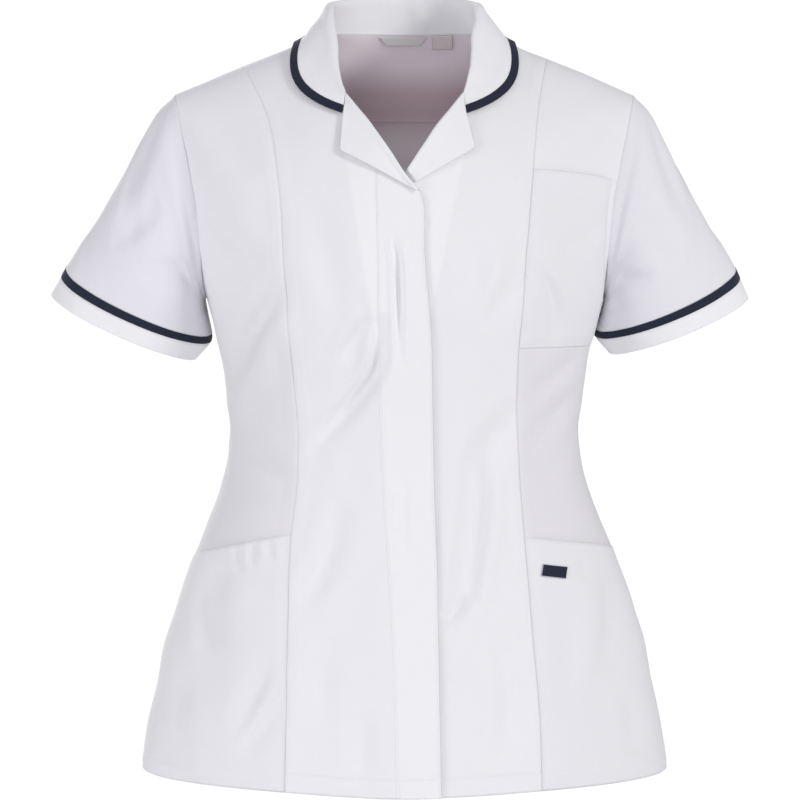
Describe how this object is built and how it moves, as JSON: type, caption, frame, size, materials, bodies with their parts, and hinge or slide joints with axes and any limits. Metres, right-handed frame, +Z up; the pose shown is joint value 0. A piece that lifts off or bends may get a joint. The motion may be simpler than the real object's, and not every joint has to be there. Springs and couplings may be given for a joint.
{
  "type": "medical tunic",
  "caption": "Short-sleeved healthcare tunic with turned collar, covered front fastening, princess seams and patch pockets, filled out as it is worn.",
  "frame": {"origin": "on the centre plane, at the height of the shoulder seams beside the neck, where the wearer's shoulders hold the tunic up", "axes": "+Z up along the body, front faces -Y, the wearer's left is +X"},
  "size_m": [0.6461, 0.2663, 0.7284],
  "materials": {
    "white_cloth": "matt plain-weave cotton blend",
    "navy_trim": "matt woven braid",
    "woven_tape": "satin woven tape"
  },
  "bodies": {
    "root": {"front_right": "white_cloth", "front_left": "white_cloth", "placket": "white_cloth", "side_front_right": "white_cloth", "side_front_left": "white_cloth", "back_yoke": "white_cloth", "back": "white_cloth", "sleeve_right": "white_cloth", "sleeve_left": "white_cloth", "cuff_right": "white_cloth", "cuff_left": "white_cloth", "collar": "white_cloth", "lapel_right": "white_cloth", "lapel_left": "white_cloth", "chest_pocket_left": "white_cloth", "pocket_right": "white_cloth", "pocket_left": "white_cloth", "sleeve_trim_right": "navy_trim", "sleeve_trim_left": "navy_trim", "collar_trim": "navy_trim", "pocket_label": "navy_trim", "neck_tape": "woven_tape", "size_tab": "woven_tape"}
  },
  "joints": []
}
